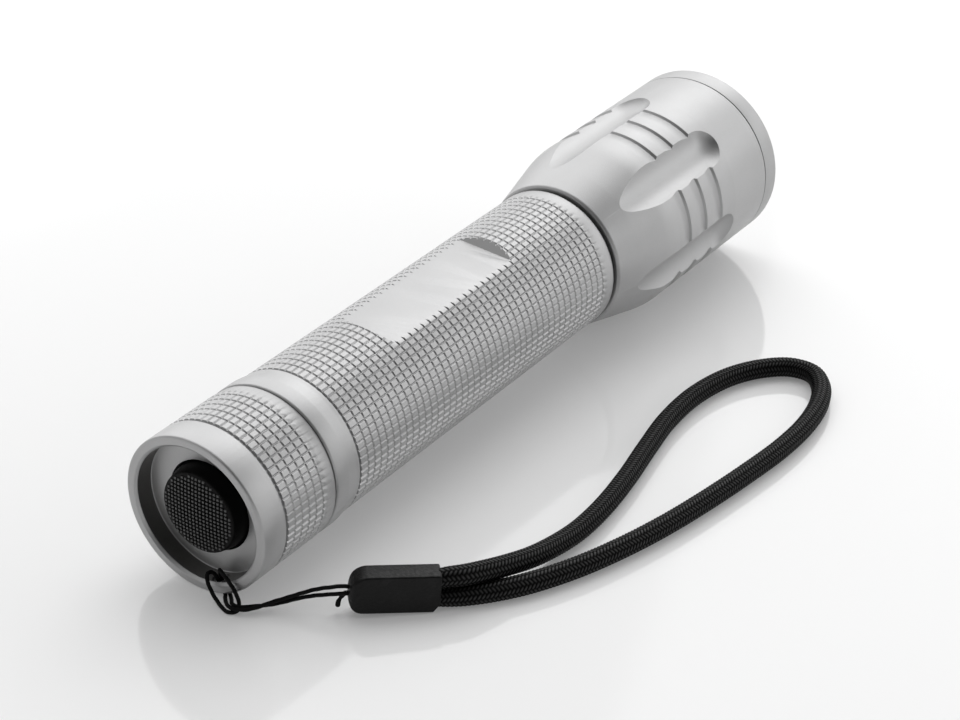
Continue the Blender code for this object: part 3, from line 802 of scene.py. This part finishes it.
def smooth_points(route, spacing):
    """Evenly spaced points, in metres, on the centripetal Catmull-Rom curve through a route in mm."""
    steps = 24
    points = [Vector(p) for p in route]
    ends = [points[0] * 2 - points[1]] + points + [points[-1] * 2 - points[-2]]
    dense = []
    for p0, p1, p2, p3 in zip(ends, ends[1:], ends[2:], ends[3:]):
        t1 = (p1 - p0).length ** 0.5
        t2 = t1 + (p2 - p1).length ** 0.5
        t3 = t2 + (p3 - p2).length ** 0.5
        for k in range(steps):
            t = t1 + (t2 - t1) * k / steps
            a1 = p0.lerp(p1, t / t1)
            a2 = p1.lerp(p2, (t - t1) / (t2 - t1))
            a3 = p2.lerp(p3, (t - t2) / (t3 - t2))
            b1 = a1.lerp(a2, t / t2)
            b2 = a2.lerp(a3, (t - t1) / (t3 - t1))
            dense.append(b1.lerp(b2, (t - t1) / (t2 - t1)))
    dense.append(points[-1])
    dense = np.array([p[:] for p in dense])
    walked = np.concatenate([[0], np.cumsum(np.linalg.norm(np.diff(dense, axis=0), axis=1))])
    stops = np.linspace(0, walked[-1], round(walked[-1] / spacing) + 1)
    return np.stack([np.interp(stops, walked, dense[:, k]) for k in range(3)], axis=1) * MM


def path_length(path):
    """The length of a path of points, in metres."""
    return float(np.linalg.norm(np.diff(path, axis=0), axis=1).sum())


def tube_points(path, radii, columns):
    """A (rows, columns, 3) array round a path, by a frame carried along it without twisting."""
    ahead = np.gradient(path, axis=0)
    ahead /= np.linalg.norm(ahead, axis=1)[:, None]
    side = np.cross(ahead[0], (0, 0, 1.0))
    sides = []
    for direction in ahead:
        side = side - direction * side.dot(direction)
        side = side / np.linalg.norm(side)
        sides.append(side)
    sides = np.array(sides)
    ups = np.cross(sides, ahead)
    turn = np.arange(columns) * math.tau / columns
    around = sides[:, None] * np.cos(turn)[None, :, None] + ups[:, None] * np.sin(turn)[None, :, None]
    return path[:, None] + around * radii[:, :, None]


def braid_relief(path, columns, carriers, advance):
    """Heights from 0 to 1 of a two-over, two-under braid, with its chevrons in columns along the cord."""
    rows = len(path)
    u = np.arange(rows)[:, None] * (path_length(path) / (rows - 1)) / MM / advance
    v = np.arange(columns)[None, :] / columns * carriers
    first = v + u
    second = v - u
    i = np.floor(first)
    j = np.floor(second)
    over = (i + j) % 4 < 2
    across = np.where(over, first - i, second - j) - 0.5
    # Along a float the strand rises over the two it crosses and dives at the ends.
    along = np.where(over, (i + second) % 4, (j + first) % 4 - 2)
    swell = np.sin(np.clip(along / 2, 0, 1) * math.pi) ** 0.5
    return np.sqrt(np.clip(np.cos(across * math.pi), 0, 1)) * (0.45 + 0.55 * swell)


def tucked(route, reach, drop):
    """The route with both ends carried on into the ferrule, with how far each then drops."""
    ahead = FERRULE_ALONG * reach
    first, last = [Vector(route[k]) + ahead - Vector((0, 0, drop[k])) for k in (0, -1)]
    return [first[:]] + route + [last[:]]


def make_cord():
    """The braided wrist cord, squeezed a little at the ferrule. Returns the piece and its path."""
    path = smooth_points(tucked(CORD_ROUTE, -2.4, (0.5, 0)), CORD_STEP)
    columns = 72
    carriers = 12
    advance = 0.82
    core_r = CORD_D / 2 - 0.2
    strand_height = 0.25
    squeezed_by = 0.14
    squeezed_over = 3.5
    relief = braid_relief(path, columns, carriers, advance)
    walked = np.arange(len(path)) * CORD_STEP
    from_end = np.minimum(walked, walked[::-1])
    squeeze = 1 - squeezed_by * np.exp(-(from_end / squeezed_over) ** 2)[:, None]
    radii = (core_r + strand_height * relief) * squeeze * MM
    mesh = grid_mesh("braided_cord", tube_points(path, radii, columns), False, True)
    cord = piece("braided_cord", mesh, ["braid"], "tail_cap", ["wrist_cord"])
    # Through this relief the braid's hollows lose their gloss, a painted shade.
    set_relief(cord.data, relief ** 2)
    return cord, path


def make_string():
    """The thin string, three strands twisted together. Returns the piece and its path."""
    path = smooth_points(tucked(STRING_ROUTE, 1.6, (0.6, -0.1)), STRING_STEP)
    columns = 12
    strands = 3
    lay = 2.6
    depth = 0.02
    run = np.arange(len(path))[:, None] * STRING_STEP
    turn = np.arange(columns)[None, :] * math.tau / columns
    radii = (STRING_D / 2 - depth + depth * np.cos(strands * turn - run * lay)) * MM
    mesh = grid_mesh("string", tube_points(path, radii, columns), False, True)
    return piece("string", mesh, ["string"], "tail_cap", ["lanyard_string"]), path


def make_knot():
    """The string's cut end below the ferrule, with a waist above its tip."""
    columns = 14
    waist = 0.62
    tail = [tuple(Vector(KNOT_ROUTE[0]) + FERRULE_ALONG * 1.4)] + KNOT_ROUTE
    path = smooth_points(tail, KNOT_STEP)
    share = np.linspace(0, 1, len(path))[:, None]
    tip = np.minimum(1, 0.75 + (1 - share) * 6)
    radii = KNOT_D / 2 * (1.0 - 0.3 * np.exp(-((share - waist) / 0.1) ** 2)) * tip
    points = tube_points(path, np.repeat(radii, columns, axis=1) * MM, columns)
    mesh = grid_mesh("knot_tail", points, False, True)
    return piece("knot_tail", mesh, ["string"], "tail_cap", ["string_knot"])


def make_strap():
    """The whole strap: the braided cord, the string with its knot, and the ferrule."""
    cord, path = make_cord()
    string, line = make_string()
    knot = make_knot()
    ferrule = make_ferrule()


def rounded_box_row(x, low, high, half_width, corner):
    """A rounded rectangle across the x axis, as (x, y, z) points."""
    pieces = 5
    row = []
    for quarter, (side, level) in enumerate(((1, high), (-1, high), (-1, low), (1, low))):
        y = side * (half_width - corner)
        z = level - corner if level == high else level + corner
        for k in range(pieces + 1):
            a = math.pi / 2 * (quarter + k / pieces)
            row.append((x, y + corner * math.cos(a), z + corner * math.sin(a)))
    return row


def bulge(radius, x):
    """How far a corner of this radius has still to go, x along from its start."""
    left = max(0.0, radius - x)
    return radius - math.sqrt(radius * radius - left * left)


def make_ferrule():
    """The strap's moulded end piece, standing on its narrow side: round at the tip, open at the mouth."""
    tip = Vector(FERRULE_TIP) * MM
    side = Vector((0, 0, 1)).cross(FERRULE_ALONG).normalized()
    up = FERRULE_ALONG.cross(side)
    place = np.array(Matrix.Translation(tip) @ Matrix((FERRULE_ALONG, side, up)).transposed().to_4x4())
    length = (Vector(FERRULE_END) - Vector(FERRULE_TIP)).length
    half_h = FERRULE_HEIGHT / 2
    half_w = FERRULE_WIDTH / 2
    top_r = 3.6
    bottom_r = 2.6
    side_r = 1.3
    steps = 12
    rows = []
    for k in range(steps + 1):
        x = top_r * (1 - math.cos(math.pi / 2 * k / steps))
        low = bulge(bottom_r, x) - half_h
        high = half_h - bulge(top_r, x)
        rows.append(rounded_box_row(x, low, high, half_w - bulge(side_r, x), 0.75 - 0.35 * k / steps))
    # The mouth: its lower edge is cut back, then the rim turns inward.
    foot = 1.9
    rows += [
        rounded_box_row(length - 1.3, -half_h, half_h, half_w, 0.4),
        rounded_box_row(length - 0.18, foot - 0.4 - half_h, half_h, half_w, 0.4),
        rounded_box_row(length, foot - half_h, half_h - 0.16, half_w - 0.16, 0.3),
        rounded_box_row(length, foot + 0.3 - half_h, half_h - 0.5, half_w - 0.45, 0.25),
        rounded_box_row(length - 1.6, foot + 0.3 - half_h, half_h - 0.6, half_w - 0.5, 0.25),
    ]
    points = np.array(rows) * MM
    mesh = grid_mesh("ferrule", points @ place[:3, :3].T + place[:3, 3], False, True)
    return piece("ferrule", mesh, ["ferrule"], "tail_cap", ["cord_ferrule"])


def dress_cad_nodes():
    """Materials for the CAD nodes that show as they are."""
    looks = {
        "stop_clip": "steel", "led_pill": "brass", "led_board": "board", "led_package": "ceramic",
        "led_dome": "phosphor", "driver_board": "board", "driver_spring": "steel", "cell_1": "cell",
        "cell_2": "cell", "switch_housing": "switch", "switch_plunger": "switch", "switch_board": "board",
        "switch_retainer": "brass", "tail_spring": "steel",
    }
    for node, look in looks.items():
        mesh = frame["nodes"][node].data
        mesh.materials.clear()
        mesh.materials.append(LOOKS[look])


# Studio

def make_camera():
    """A long lens from behind the tail and above, tilted by a hair."""
    data = bpy.data.cameras.new("camera")
    data.lens = 98.6
    data.sensor_width = 36
    data.clip_end = 20
    camera = bpy.data.objects.new("camera", data)
    camera.location = (-0.40766, -0.2839, 0.28805)
    camera.rotation_euler = [math.radians(angle) for angle in (60.578, -0.2245, -55.11)]
    bpy.context.scene.collection.objects.link(camera)
    bpy.context.scene.camera = camera


def softbox(name, place, size, brightness):
    """A rectangular light facing the torch, as bright as a surface of this radiance."""
    data = bpy.data.lights.new(name, "AREA")
    data.shape = "RECTANGLE"
    data.size, data.size_y = size
    data.energy = 4 * size[0] * size[1] * brightness
    lamp = bpy.data.objects.new(name, data)
    lamp.location = place
    lamp.rotation_euler = (-Vector(place)).to_track_quat("-Z", "Y").to_euler()
    bpy.context.scene.collection.objects.link(lamp)


def make_world():
    """An even room with one dark side, to the torch's rear and right, as where a photographer stands."""
    world = bpy.data.worlds.new("studio")
    world.use_nodes = True
    nodes, links = world.node_tree.nodes, world.node_tree.links
    place = nodes.new("ShaderNodeTexCoord")
    toward = nodes.new("ShaderNodeVectorMath")
    toward.operation = "DOT_PRODUCT"
    toward.inputs[1].default_value = Vector((-0.71, -0.5, 0.5)).normalized()
    shade = nodes.new("ShaderNodeMapRange")
    shade.interpolation_type = "SMOOTHSTEP"
    shade.inputs["From Min"].default_value = DARK_FROM
    shade.inputs["From Max"].default_value = DARK_TO
    shade.inputs["To Min"].default_value = ROOM_LIGHT
    shade.inputs["To Max"].default_value = DARK_SIDE
    links.new(place.outputs["Generated"], toward.inputs[0])
    links.new(toward.outputs["Value"], shade.inputs["Value"])
    links.new(shade.outputs["Result"], nodes["Background"].inputs["Strength"])
    nodes["Background"].inputs["Color"].default_value = grey(1)
    bpy.context.scene.world = world


def make_studio():
    """The room, its softboxes and the white table that the torch lies on."""
    make_world()
    bpy.context.scene.view_settings.view_transform = "Standard"
    softbox("key", (0.6, 0.55, 0.95), (1.7, 1.7), 0.45)
    softbox("key_spread", (0.7, 0.65, 0.9), (2.3, 2.3), 0.59)
    softbox("back", (1.2, 0.0, 0.8), (1.2, 1.0), 0.55)
    softbox("side", (0.9, -0.9, 0.5), (1.3, 0.8), 0.67)
    softbox("low_side", (1.1, -0.9, 0.35), (1.8, 0.7), 0.25)
    softbox("low_front", (-0.9, -0.95, 0.14), (1.3, 0.28), 0.6)
    softbox("left", (0.2, 1.1, 0.3), (1.4, 0.5), 0.25)
    softbox("rear", (-1.0, 0.8, 0.45), (1.2, 0.9), 0.17)
    mesh = bpy.data.meshes.new("floor")
    corners = [(x * FLOOR_REACH, y * FLOOR_REACH, 0) for x, y in ((-1, -1), (1, -1), (1, 1), (-1, 1))]
    mesh.from_pydata(corners, [], [(0, 1, 2, 3)])
    mesh.materials.append(floor_material())
    floor = bpy.data.objects.new("floor", mesh)
    bpy.context.scene.collection.objects.link(floor)


make_camera()
make_strap()
make_grip()
make_neck_fittings()
make_head()
make_lens_group()
make_tail_cap()
make_boot()
dress_cad_nodes()
make_studio()
